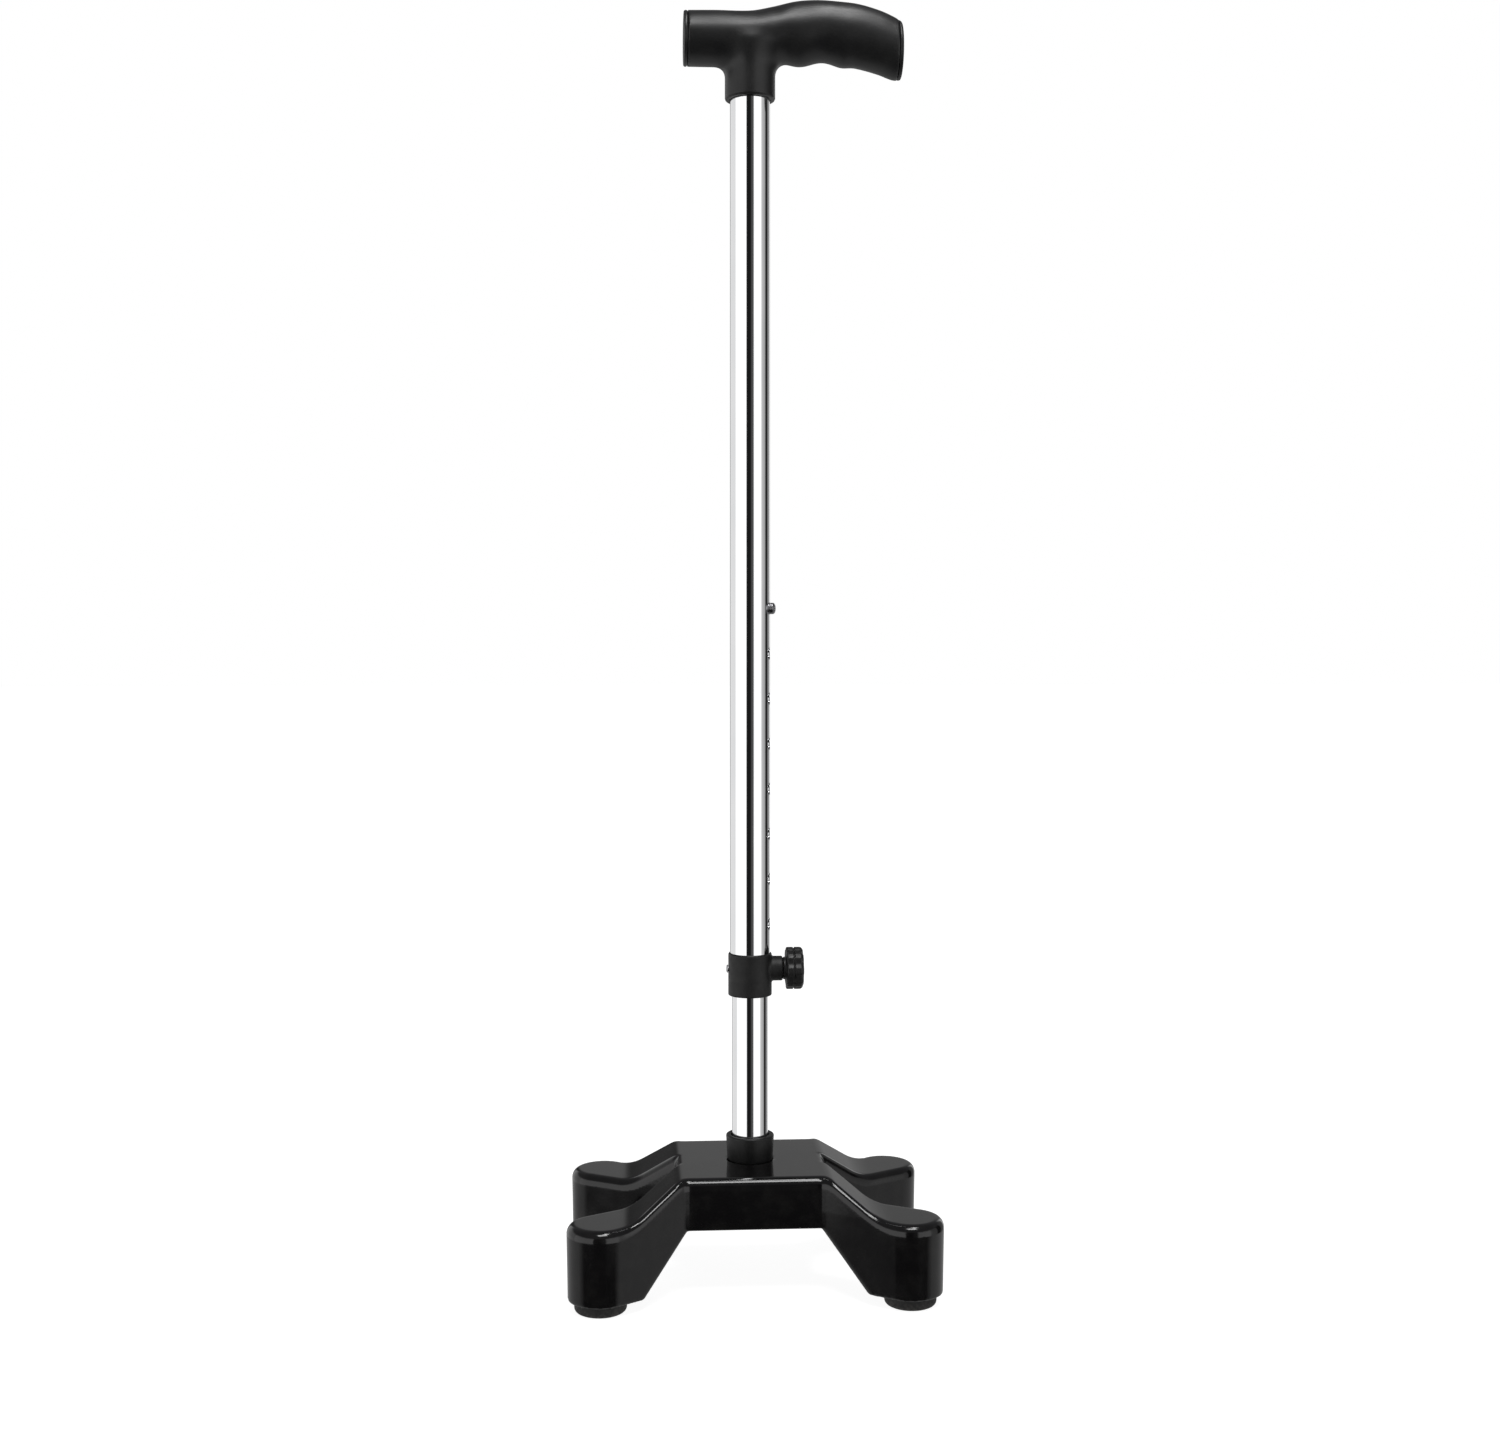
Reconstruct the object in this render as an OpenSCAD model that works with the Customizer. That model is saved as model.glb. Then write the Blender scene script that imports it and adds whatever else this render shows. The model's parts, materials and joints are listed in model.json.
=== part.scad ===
// Quad walking cane: a moulded handle on a chromed upper tube, which slides over a
// chromed lower tube that stands in a four-legged base on rubber feet.
// Z is up, the floor is Z = 0 and both tubes share the Z axis. The nose of the handle
// and the clamp knob point to +X. The cane is drawn at its lowest setting.

/* [Height and adjustment] */
// Floor to the top of the handle at the lowest setting
total_height = 708; // [704:1:714]
// Height of the clamp screw's axis above the floor
clamp_z = 169.7; // [168:0.1:172]
// Distance between two adjustment holes
hole_pitch = 25; // [24:0.5:25.5]
// Number of adjustment holes in the upper tube
hole_count = 8; // [6:1:8]
// Diameter of the adjustment holes
hole_d = 6.5; // [6.4:0.1:6.8]
// Angle of the row of holes from the +X side, towards the front
hole_angle = 18.75; // [15:0.25:24]

/* [Tubes] */
// Outer diameter of the upper tube
upper_d = 22.2; // [22.1:0.1:22.3]
// Outer diameter of the lower tube
lower_d = 20; // [19.9:0.1:20]
// Wall thickness of both tubes
tube_wall = 0.9; // [0.8:0.05:0.95]
// Height of the top end of the lower tube above the snap button
tube_over_button = 30; // [26:1:34]

/* [Handle] */
// Thickness of the cap at each end of the handle
cap_t = 2.2; // [1.8:0.1:2.6]
// Diameter of the neck
neck_d = 28; // [27.6:0.1:28.4]
// Length of the neck and bar from the neck's lower rim to the top of the handle
neck_drop = 56; // [54:1:58]
// Depth of the tube's end below the top of the handle
tube_drop = 18; // [17:1:20]

/* [Collar and clamp] */
// Outer diameter of the lock collar
collar_d = 24.2; // [24:0.1:24.4]
// Height of the lock collar
collar_h = 23.5; // [23:0.5:24.5]
// Diameter of the collar's side boss
boss_d = 13.6; // [13:0.1:14]
// Distance from the tube axis to the boss's end
boss_x = 18; // [17.5:0.1:18.2]
// Diameter of the clamp knob
knob_d = 23.2; // [22:0.2:24]
// Distance from the tube axis to the knob's inner face
knob_x = 20; // [19.5:0.1:20.2]
// Width of the knob's rim
knob_w = 9.4; // [9:0.1:10]
// Pitch diameter of the clamp stud
stud_d = 5.9; // [5.8:0.05:5.9]

/* [Base] */
// Distance from the tube axis to each leg's axis, sideways
leg_x = 82; // [81:0.5:84]
// Distance from the tube axis to each leg's axis, front to back
leg_y = 51; // [50:0.5:53]
// Radius of a leg
leg_r = 18; // [17.6:0.1:18.4]
// Height of the top of a leg
leg_top = 46; // [45:0.5:48]
// Height of the lower rim of a leg
leg_bottom = 10.5; // [10:0.1:11]
// Height of the top of the base's middle
deck_z = 64.3; // [63.5:0.1:65]
// Height of the lower edge of the base's middle
arch_z = 37; // [36:0.5:38]
// Half width of the base's middle
deck_x = 42; // [41:0.5:43]
// Half depth of the base's middle
deck_y = 41; // [39:0.5:42]
// Wall thickness of the base's middle
shell_t = 4; // [3.5:0.5:4]

/* [Feet] */
// Diameter of a rubber foot
foot_d = 27.8; // [27.6:0.1:27.9]
// Height of a rubber foot
foot_h = 24; // [22:1:25]
// Diameter of the peg that a rubber foot sits on
peg_d = 15.8; // [15.6:0.1:15.8]

/* [Hidden] */
$fn = 96;
tiny = 0.05;
black = "#141414";
glossy_black = "#0b0b0c";
rubber_black = "#1c1c1c";
chrome = "#d5d7da";
steel = "#a9abb0";
brass = "#b99a4f";
nylon = "#e4e2da";

button_z = clamp_z + hole_count * hole_pitch;
upper_ri = upper_d / 2 - tube_wall;
lower_ri = lower_d / 2 - tube_wall;
collar_z = clamp_z - 14.5;
lip_t = 1.5;
upper_z = collar_z + lip_t;
upper_top = total_height - tube_drop;
lower_top = button_z + tube_over_button;
hole_r = hole_d / 2;

// Handle: distance along the bar, depth of its top line and of its bottom line below
// the highest point, and half its width
BAR = [
    [-37, 7.2, 37.2, 15.2],
    [-20, 6.8, 37.2, 15.2],
    [0, 6.7, 37.0, 15.3],
    [12, 4.4, 36.5, 15.4],
    [25, 1.1, 35.6, 15.4],
    [36, 0.0, 35.4, 15.2],
    [48, 0.4, 35.6, 14.9],
    [60, 1.6, 36.8, 14.5],
    [72, 4.8, 39.9, 14.0],
    [80, 8.2, 42.8, 13.6],
    [84.5, 10.9, 42.8, 13.4],
];
bar_rear = BAR[0][0];
bar_nose = BAR[len(BAR) - 1][0];
ring_sides = 32;
bar_rings = 44;
cap_spigot_r = 9;
cap_spigot_l = 9;
core_r = 9.05;
rear_core_l = 21;
nose_core_l = 24;
screw_z = total_height - 47;
screw_r = 1.5;
screw_head_r = 2.9;
screw_seat_y = 12.6;

pad_r = 2.8;
pad_x = lower_d / 2 + tiny;
pad_l = 2.5;
insert_r = 4.3;
insert_bore_r = stud_d / 2 + tiny;
stud_l = 14.4;
hub_x = boss_x + 0.4;
hub_r = 6.2;
flutes = 8;
flute_r = 3.4;
knob_groove_x = knob_x + 3.9;
rivet_r = 1.5;
rivet_head_r = 2.3;

button_r = 3.15;
button_tip = upper_d / 2 + 3.3;
button_flange = 6.9;
strip_w = 8;
strip_t = 0.5;

socket_r = 12;
socket_z = 46;
boss_z = 42.5;
deck_edge = 4;
ramp_top_x = 40.3;
ramp_foot_x = 65.7;
corner_r = 6;
leg_edge = 5;
channel_r = 10;
channel_root = [30, 18.7];
rib_t = 3;
foot_bore_r = foot_d / 2 + 0.1;
foot_pad_z = 5;
disc_t = 1.5;
hub_ring_r = 13.35;
hub_ring_top = 78;
plug_l = 24;
washer_t = 1.6;
spring_washer_t = 2;
bolt_r = 4;
bolt_head_h = 5.3;
bolt_head_r = 7.5;
bolt_l = 27;

FRONT_LEFT = [-1, -1];
FRONT_RIGHT = [1, -1];
REAR_LEFT = [-1, 1];
REAR_RIGHT = [1, 1];
CORNERS = [FRONT_LEFT, FRONT_RIGHT, REAR_LEFT, REAR_RIGHT];

// A value of BAR's column k at x, on a smooth curve through the rows
function bar_row(x, i = 0) = i >= len(BAR) - 2 || x < BAR[i + 1][0] ? i : bar_row(x, i + 1);
function bar_slope(i, k) =
    let (a = max(i - 1, 0), b = min(i + 1, len(BAR) - 1))
    (BAR[b][k] - BAR[a][k]) / (BAR[b][0] - BAR[a][0]);
function bar_at(x, k) =
    let (i = bar_row(x), step = BAR[i + 1][0] - BAR[i][0], u = (x - BAR[i][0]) / step)
    BAR[i][k] * (2 * pow(u, 3) - 3 * pow(u, 2) + 1)
    + bar_slope(i, k) * step * (pow(u, 3) - 2 * pow(u, 2) + u)
    + BAR[i + 1][k] * (3 * pow(u, 2) - 2 * pow(u, 3))
    + bar_slope(i + 1, k) * step * (pow(u, 3) - pow(u, 2));

// The oval section of the handle's bar at x, as points across (Y) and up (Z)
function bar_oval(x, sides) =
    let (
        middle = total_height - (bar_at(x, 1) + bar_at(x, 2)) / 2,
        half = (bar_at(x, 2) - bar_at(x, 1)) / 2
    )
    [for (i = [0 : sides - 1]) [
        bar_at(x, 3) * cos(i * 360 / sides),
        middle + half * sin(i * 360 / sides)
    ]];

// The handle's bar as a skin through oval rings from one x to another
module bar_skin(from, to, rings, sides) {
    points = [
        for (j = [0 : rings])
            let (x = from + (to - from) * j / rings)
            for (p = bar_oval(x, sides)) [x, p[0], p[1]]
    ];
    walls = [
        for (j = [0 : rings - 1])
            for (i = [0 : sides - 1])
                let (next = (i + 1) % sides)
                [j * sides + i, (j + 1) * sides + i, (j + 1) * sides + next, j * sides + next]
    ];
    start = [for (i = [0 : sides - 1]) i];
    end = [for (i = [0 : sides - 1]) rings * sides + sides - 1 - i];
    polyhedron(points, concat(walls, [start, end]));
}

// A cylinder along X from one x to another, at height z
module along_x(r, from, to, z = 0) {
    translate([from, 0, z]) rotate([0, 90, 0]) cylinder(r = r, h = to - from);
}

// A cylinder along Y from one y to another, at height z
module along_y(r, from, to, z = 0) {
    translate([0, from, z]) rotate([-90, 0, 0]) cylinder(r = r, h = to - from);
}

// A round post whose top edge is rounded
module rounded_post(r, from, to, edge) {
    arc = [for (a = [0 : 15 : 90]) [r - edge + edge * cos(a), to - edge + edge * sin(a)]];
    rotate_extrude($fn = 32) polygon(concat([[0, from], [r, from]], arc, [[0, to]]));
}

// A flat ring
module ring(r_out, r_in, from, to) {
    translate([0, 0, from]) difference() {
        cylinder(r = r_out, h = to - from);
        translate([0, 0, -1]) cylinder(r = r_in, h = to - from + 2);
    }
}

// The outside of one arm of the base, from the middle to a leg
module arm(side) {
    hull() {
        translate([side[0] * leg_x, side[1] * leg_y, 0])
            rounded_post(leg_r, leg_bottom, leg_top + 0.3, leg_edge);
        translate([side[0] * (deck_x - corner_r + 2), side[1] * (deck_y - corner_r), 0])
            rounded_post(corner_r, arch_z, deck_z, deck_edge);
        translate([side[0] * (deck_x - corner_r), side[1] * 10, 0])
            rounded_post(corner_r, arch_z, deck_z, deck_edge);
    }
}

// The space above the arms: level over the legs, with a ramp up to the middle
module above_arms() {
    rise = (deck_z - leg_top) / (ramp_foot_x - ramp_top_x);
    reach = 5 / rise;
    for (side = [-1, 1]) scale([side, 1, 1])
        rotate([90, 0, 0]) translate([0, 0, -80]) linear_extrude(160) polygon([
            [110, leg_top], [ramp_foot_x, leg_top], [ramp_top_x - reach, deck_z + 5],
            [110, deck_z + 5]
        ]);
}

// The outside of the base's middle
module deck() {
    hull() for (c = CORNERS)
        translate([c[0] * (deck_x - corner_r), c[1] * (deck_y - corner_r), 0])
            rounded_post(corner_r, arch_z, deck_z, deck_edge);
}

// The opening under the base, seen along Y: flat above, with sloping sides
module arch(top_half, bottom_half, length) {
    foot_half = bottom_half + 2;
    rotate([90, 0, 0]) translate([0, 0, -length / 2]) linear_extrude(length) polygon([
        [-top_half, arch_z], [top_half, arch_z], [bottom_half, leg_bottom - 1],
        [foot_half, -1], [-foot_half, -1], [-bottom_half, leg_bottom - 1]
    ]);
}

// The hollow under two opposite arms
module channel(side) {
    hull() for (end = [-1, 1]) {
        translate([end * leg_x, end * side * leg_y, -1])
            cylinder(r = channel_r, h = leg_top - shell_t + 3, $fn = 32);
        translate([end * channel_root[0], end * side * channel_root[1], -1])
            cylinder(r = channel_r, h = deck_z - shell_t + 1, $fn = 32);
    }
}

// Everything that is open under the base's skin
module base_hollow() {
    difference() {
        for (side = [-1, 1]) channel(side);
        translate([0, 0, -shell_t]) above_arms();
    }
    translate([-deck_x + shell_t, -deck_y + shell_t, -1])
        cube([2 * (deck_x - shell_t), 2 * (deck_y - shell_t), deck_z - shell_t + 1]);
    for (c = CORNERS)
        translate([c[0] * leg_x, c[1] * leg_y, -1]) cylinder(r = foot_bore_r, h = foot_h + 3);
}

// The stiffening under the base's skin: socket wall, ribs and foot pegs
module base_inside() {
    roof = deck_z - shell_t + 1;
    translate([0, 0, boss_z]) cylinder(r = socket_r + 4, h = roof - boss_z);
    translate([-deck_x + 2, -rib_t / 2, boss_z]) cube([2 * deck_x - 4, rib_t, roof - boss_z]);
    translate([-rib_t / 2, -deck_y + 2, boss_z]) cube([rib_t, 2 * deck_y - 4, roof - boss_z]);
    for (c = CORNERS)
        translate([c[0] * leg_x, c[1] * leg_y, foot_pad_z + disc_t])
            cylinder(d = peg_d, h = leg_top - shell_t + 1 - foot_pad_z - disc_t);
}

module base_shell() {
    color(glossy_black) difference() {
        union() {
            difference() {
                union() {
                    difference() {
                        for (c = CORNERS) arm(c);
                        above_arms();
                    }
                    deck();
                }
                arch(deck_x - 6, 60, 200);
                rotate([0, 0, 90]) arch(17, 30, 260);
                base_hollow();
            }
            base_inside();
        }
        translate([0, 0, socket_z]) cylinder(r = socket_r, h = 30);
        translate([0, 0, boss_z - 1]) cylinder(r = bolt_r + 0.3, h = 10);
    }
}

module hub_collar() {
    color(black) difference() {
        union() {
            translate([0, 0, socket_z]) cylinder(r = socket_r, h = deck_z - socket_z);
            translate([0, 0, deck_z])
                cylinder(r1 = hub_ring_r - 0.8, r2 = hub_ring_r, h = hub_ring_top - deck_z);
        }
        translate([0, 0, socket_z - 1]) cylinder(d = lower_d, h = 40);
    }
}

module lower_tube() {
    color(chrome) difference() {
        translate([0, 0, socket_z]) cylinder(d = lower_d, h = lower_top - socket_z);
        translate([0, 0, socket_z - 1]) cylinder(r = lower_ri, h = lower_top);
        rotate([0, 0, -hole_angle]) along_x(hole_r, 2, lower_d, button_z);
    }
}

module tube_plug() {
    color(steel) ring(lower_ri, bolt_r + tiny, socket_z, socket_z + plug_l);
}

module base_bolt() {
    under = boss_z - washer_t - spring_washer_t;
    color(steel) {
        translate([0, 0, under]) cylinder(r = bolt_r, h = bolt_l);
        translate([0, 0, under - bolt_head_h]) cylinder(r = bolt_head_r, h = bolt_head_h, $fn = 6);
    }
}

module bolt_washer() {
    color(steel) ring(10, bolt_r + 0.2, boss_z - washer_t, boss_z);
}

module lock_washer() {
    under = boss_z - washer_t - spring_washer_t;
    color(steel) difference() {
        ring(6.9, bolt_r + 0.1, under, under + spring_washer_t);
        translate([0, -0.6, under - 1]) cube([10, 1.2, 10]);
    }
}

// A rubber foot: a cup with a rounded lower edge and two grooves in its sole
module foot(side) {
    r = foot_d / 2;
    edge = 2.5;
    arc = [for (a = [0 : 10 : 90]) [r - edge + edge * sin(a), edge - edge * cos(a)]];
    sole = [[0, 0], [4, 0], [4, 1.2], [5.2, 1.2], [5.2, 0], [8, 0], [8, 1.2], [9.2, 1.2], [9.2, 0]];
    cup = [[r, foot_h], [peg_d / 2, foot_h], [peg_d / 2, foot_pad_z], [0, foot_pad_z]];
    color(rubber_black) translate([side[0] * leg_x, side[1] * leg_y, 0])
        rotate_extrude() polygon(concat(sole, arc, cup));
}

module foot_front_left() { foot(FRONT_LEFT); }
module foot_front_right() { foot(FRONT_RIGHT); }
module foot_rear_left() { foot(REAR_LEFT); }
module foot_rear_right() { foot(REAR_RIGHT); }

// The steel disc between a rubber foot's sole and its peg
module disc(side) {
    color(steel) translate([side[0] * leg_x, side[1] * leg_y, 0])
        ring(peg_d / 2, 2.5, foot_pad_z, foot_pad_z + disc_t);
}

module disc_front_left() { disc(FRONT_LEFT); }
module disc_front_right() { disc(FRONT_RIGHT); }
module disc_rear_left() { disc(REAR_LEFT); }
module disc_rear_right() { disc(REAR_RIGHT); }

module guide_bush() {
    color(nylon) difference() {
        union() {
            translate([0, 0, lower_top - 12]) cylinder(r = lower_ri, h = 12);
            translate([0, 0, lower_top]) cylinder(r = upper_ri - 0.08, h = 3);
        }
        translate([0, 0, lower_top - 13]) cylinder(r = 7.5, h = 20);
    }
}

// A strip bent into a V, whose upper ends stand straight
module button_spring() {
    top = button_z + 10;
    knee = button_z - 10;
    bend = button_z - 35;
    near = button_flange - tiny;
    far = 8.1;
    color(steel) rotate([0, 0, -hole_angle]) rotate([90, 0, 0])
        translate([0, 0, -strip_w / 2]) linear_extrude(strip_w) polygon([
            [near, top], [near, knee], [0.6, bend], [-0.6, bend], [-far, knee], [-far, top],
            [strip_t - far, top], [strip_t - far, knee], [0, bend + 2 * strip_t],
            [near - strip_t, knee], [near - strip_t, top]
        ]);
}

// The snap button: a pin with a domed end and a flange that keeps it in the tube
module snap_button() {
    dome = 1.6;
    arc = [for (a = [0 : 10 : 90]) [button_r * cos(a), button_tip - dome + dome * sin(a)]];
    color(steel) rotate([0, 0, -hole_angle]) translate([0, 0, button_z]) rotate([0, 90, 0])
        rotate_extrude() polygon(concat(
            [[0, button_flange], [4.2, button_flange], [4.2, button_flange + 1], [button_r, button_flange + 1]],
            arc
        ));
}

module upper_tube() {
    color(chrome) difference() {
        translate([0, 0, upper_z]) cylinder(d = upper_d, h = upper_top - upper_z);
        translate([0, 0, upper_z - 1]) cylinder(r = upper_ri, h = upper_top);
        along_x(hole_r, 2, upper_d, clamp_z);
        along_x(rivet_r, -upper_d, -2, clamp_z);
        for (i = [1 : hole_count])
            rotate([0, 0, -hole_angle]) along_x(hole_r, 2, upper_d, clamp_z + i * hole_pitch);
        along_y(screw_r, 2, upper_d, screw_z);
    }
}

module lock_collar() {
    color(black) difference() {
        union() {
            translate([0, 0, collar_z]) cylinder(d = collar_d, h = collar_h);
            along_x(boss_d / 2, 4, boss_x, clamp_z);
        }
        translate([0, 0, upper_z]) cylinder(d = upper_d, h = collar_h);
        translate([0, 0, collar_z - 1]) cylinder(d = lower_d + 0.6, h = 10);
        along_x(hole_r, 2, boss_x, clamp_z);
        along_x(insert_r, collar_d / 2, boss_x + 1, clamp_z);
        along_x(rivet_r, -collar_d, -2, clamp_z);
    }
}

module collar_rivet() {
    arc = [for (a = [0 : 15 : 90]) [rivet_head_r * cos(a), collar_d / 2 + 0.2 + 1 * sin(a)]];
    color(steel) translate([0, 0, clamp_z]) rotate([0, -90, 0]) rotate_extrude() polygon(concat(
        [[0, upper_ri + tiny], [rivet_r, upper_ri + tiny], [rivet_r, collar_d / 2 + 0.2]], arc
    ));
}

module clamp_insert() {
    color(brass) difference() {
        along_x(insert_r, collar_d / 2 + tiny, boss_x, clamp_z);
        along_x(insert_bore_r, 2, boss_x + 1, clamp_z);
    }
}

module clamp_pad() {
    color(nylon) along_x(pad_r, pad_x, pad_x + pad_l, clamp_z);
}

module clamp_stud() {
    start = pad_x + pad_l + tiny;
    color(steel) along_x(stud_d / 2, start, start + stud_l, clamp_z);
}

// The knob: a fluted rim on a short hub, with a groove round it
module clamp_knob() {
    edge = 2;
    r = knob_d / 2;
    arc = [for (a = [0 : 15 : 90]) [r - edge + edge * cos(a), knob_x + knob_w - edge + edge * sin(a)]];
    start = pad_x + pad_l + tiny;
    color(black) translate([0, 0, clamp_z]) rotate([0, 90, 0]) difference() {
        rotate_extrude() polygon(concat(
            [
                [0, hub_x], [hub_r, hub_x], [hub_r, knob_x], [r - 0.6, knob_x], [r, knob_x + 0.6],
                [r, knob_groove_x], [r - 0.7, knob_groove_x], [r - 0.7, knob_groove_x + 0.6],
                [r, knob_groove_x + 0.6]
            ],
            arc, [[0, knob_x + knob_w]]
        ));
        for (i = [0 : flutes - 1]) rotate([0, 0, (i + 0.5) * 360 / flutes])
            translate([r + flute_r - 1.1, 0, knob_x - 1]) cylinder(r = flute_r, h = knob_w + 2);
        cylinder(d = stud_d, h = start + stud_l);
    }
}

module handle_grip() {
    rear = bar_rear + cap_t;
    nose = bar_nose - cap_t;
    core_z = total_height - 22;
    nose_core_z = total_height - 26;
    color(black) difference() {
        union() {
            bar_skin(rear, nose, bar_rings, ring_sides);
            translate([0, 0, total_height - neck_drop]) cylinder(d = neck_d, h = 30);
        }
        translate([0, 0, total_height - neck_drop - 1])
            cylinder(d = upper_d, h = neck_drop - tube_drop + 1);
        along_x(core_r, rear - 1, rear + rear_core_l, core_z);
        along_x(core_r, nose - nose_core_l, nose + 1, nose_core_z);
        along_y(screw_r, 2, 20, screw_z);
        along_y(screw_head_r, screw_seat_y, 20, screw_z);
    }
}

module handle_rear_cap() {
    rear = bar_rear + cap_t;
    color(black) {
        bar_skin(bar_rear, rear, 1, ring_sides);
        along_x(cap_spigot_r, rear, rear + cap_spigot_l, total_height - 22);
    }
}

module handle_nose_cap() {
    nose = bar_nose - cap_t;
    color(black) {
        bar_skin(nose, bar_nose, 1, ring_sides);
        along_x(cap_spigot_r, nose - cap_spigot_l, nose, total_height - 26);
    }
}

module handle_screw() {
    color(steel) difference() {
        union() {
            along_y(screw_r, upper_ri - 1.5, screw_seat_y, screw_z);
            along_y(screw_head_r - tiny, screw_seat_y, screw_seat_y + 1.5, screw_z);
        }
        for (turn = [0, 90]) translate([0, screw_seat_y + 1.5, screw_z]) rotate([0, turn, 0])
            cube([0.7, 1.4, 3.6], center = true);
    }
}

base_shell();
hub_collar();
lower_tube();
tube_plug();
base_bolt();
bolt_washer();
lock_washer();
foot_front_left();
foot_front_right();
foot_rear_left();
foot_rear_right();
disc_front_left();
disc_front_right();
disc_rear_left();
disc_rear_right();
guide_bush();
button_spring();
snap_button();
upper_tube();
lock_collar();
collar_rivet();
clamp_insert();
clamp_pad();
clamp_stud();
clamp_knob();
handle_grip();
handle_rear_cap();
handle_nose_cap();
handle_screw();
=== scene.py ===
import json
import math

import bpy
import numpy as np
from mathutils import Matrix, Vector


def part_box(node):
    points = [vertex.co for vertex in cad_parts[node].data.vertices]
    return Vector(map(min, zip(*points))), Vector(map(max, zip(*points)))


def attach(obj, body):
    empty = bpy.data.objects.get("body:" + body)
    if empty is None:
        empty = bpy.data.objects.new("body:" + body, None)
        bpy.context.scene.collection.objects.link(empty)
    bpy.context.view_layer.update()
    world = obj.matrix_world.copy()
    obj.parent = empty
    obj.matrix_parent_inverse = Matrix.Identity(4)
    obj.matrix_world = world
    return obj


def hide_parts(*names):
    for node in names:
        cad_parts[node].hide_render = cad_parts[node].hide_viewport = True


# A quad walking cane: moulded handle, chromed telescoping tubes, four-legged base.
# Lengths are in millimetres until a mesh is made, which turns them into metres.

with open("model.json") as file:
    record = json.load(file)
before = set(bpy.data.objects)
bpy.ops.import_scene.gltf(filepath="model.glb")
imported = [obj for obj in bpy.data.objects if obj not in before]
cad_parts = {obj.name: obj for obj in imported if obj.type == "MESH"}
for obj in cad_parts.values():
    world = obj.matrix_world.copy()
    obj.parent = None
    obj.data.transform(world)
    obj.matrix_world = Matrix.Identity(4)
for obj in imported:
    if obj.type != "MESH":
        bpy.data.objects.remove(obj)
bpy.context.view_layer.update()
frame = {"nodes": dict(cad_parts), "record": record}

MM = 0.001
BODIES = frame["record"]["behaviour"]["bodies"]


def low(node):
    """A CAD node's lowest corner, in millimetres."""
    return np.array(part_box(node)[0]) / MM


def high(node):
    """A CAD node's highest corner, in millimetres."""
    return np.array(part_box(node)[1]) / MM


# ---------------------------------------------------------------- driving sizes

TOP_Z = high("handle_grip")[2]
NECK_LOW = low("handle_grip")[2]
NECK_R = 14.0
CLAMP_Z = (low("clamp_knob")[2] + high("clamp_knob")[2]) / 2
HOLE_PITCH = 25.0
HOLE_COUNT = 8
HOLE_R = 3.25
BUTTON_Z = CLAMP_Z + HOLE_COUNT * HOLE_PITCH
UPPER_R = high("upper_tube")[0]
LOWER_R = high("lower_tube")[0]
TUBE_WALL = 0.9
DECK_Z = high("base_shell")[2]
LEG_LOW = low("base_shell")[2]
FOOT_R = (high("foot_front_right")[0] - low("foot_front_right")[0]) / 2
FOOT_H = high("foot_front_right")[2]
LEG_X = (high("foot_front_right")[0] + low("foot_front_right")[0]) / 2
LEG_Y = (high("foot_rear_right")[1] + low("foot_rear_right")[1]) / 2
LEG_R = high("base_shell")[0] - LEG_X
LEG_TOP = 46.0
SCREW_Z = (low("handle_screw")[2] + high("handle_screw")[2]) / 2

# Azimuths are in degrees from +X towards +Y. The button's is that of the middle of its
# node's box, which lies 3 degrees from the button's own axis, and a tube rounds it to a column
BUTTON_AZIMUTH = math.degrees(math.atan2(
    low("snap_button")[1] + high("snap_button")[1], low("snap_button")[0] + high("snap_button")[0]
))
KNOB_AZIMUTH = 0.0
RIVET_AZIMUTH = 180.0
SCREW_AZIMUTH = 90.0


# ---------------------------------------------------------------- making pieces

def add_piece(name, points, faces, look, stands_for, sharp=None):
    """A mesh from points in millimetres, riding on its CAD node's body and standing for that node."""
    mesh = bpy.data.meshes.new(name)
    mesh.from_pydata((np.asarray(points) * MM).tolist(), [], [list(map(int, face)) for face in faces])
    mesh.validate()
    mesh.polygons.foreach_set("use_smooth", [True] * len(mesh.polygons))
    if sharp is not None:
        mesh.set_sharp_from_angle(angle=math.radians(sharp))
    mesh.materials.append(look)
    mesh.update()
    piece = bpy.data.objects.new(name, mesh)
    bpy.context.scene.collection.objects.link(piece)
    body = next(b for b, nodes in BODIES.items() if stands_for in nodes)
    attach(piece, body)
    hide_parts(stands_for)
    return piece


def finish_node(node, look):
    """A CAD node that stays as it is gets its material."""
    mesh = frame["nodes"][node].data
    if not mesh.materials:
        mesh.materials.append(look)
    for index in range(len(mesh.materials)):
        mesh.materials[index] = look


def rounded_path(corners, steps=5):
    """An outline through (radius, height, rounding) corners, each rounded by a short arc."""
    corners = [np.array(c, float) for c in corners]
    path = []
    for index, corner in enumerate(corners):
        here, rounding = corner[:2], corner[2]
        if rounding == 0 or index in (0, len(corners) - 1):
            path.append(here)
            continue
        before = corners[index - 1][:2] - here
        after = corners[index + 1][:2] - here
        before /= np.linalg.norm(before)
        after /= np.linalg.norm(after)
        half = math.acos(float(np.clip(before @ after, -1, 1))) / 2
        reach = rounding / math.tan(half)
        middle = before + after
        centre = here + middle / np.linalg.norm(middle) * rounding / math.sin(half)
        first, last = here + before * reach - centre, here + after * reach - centre
        turn = math.atan2(first[0] * last[1] - first[1] * last[0], float(first @ last))
        for step in range(steps + 1):
            angle = turn * step / steps
            spun = (
                first[0] * math.cos(angle) - first[1] * math.sin(angle),
                first[0] * math.sin(angle) + first[1] * math.cos(angle),
            )
            path.append(centre + spun)
    return path


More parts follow.
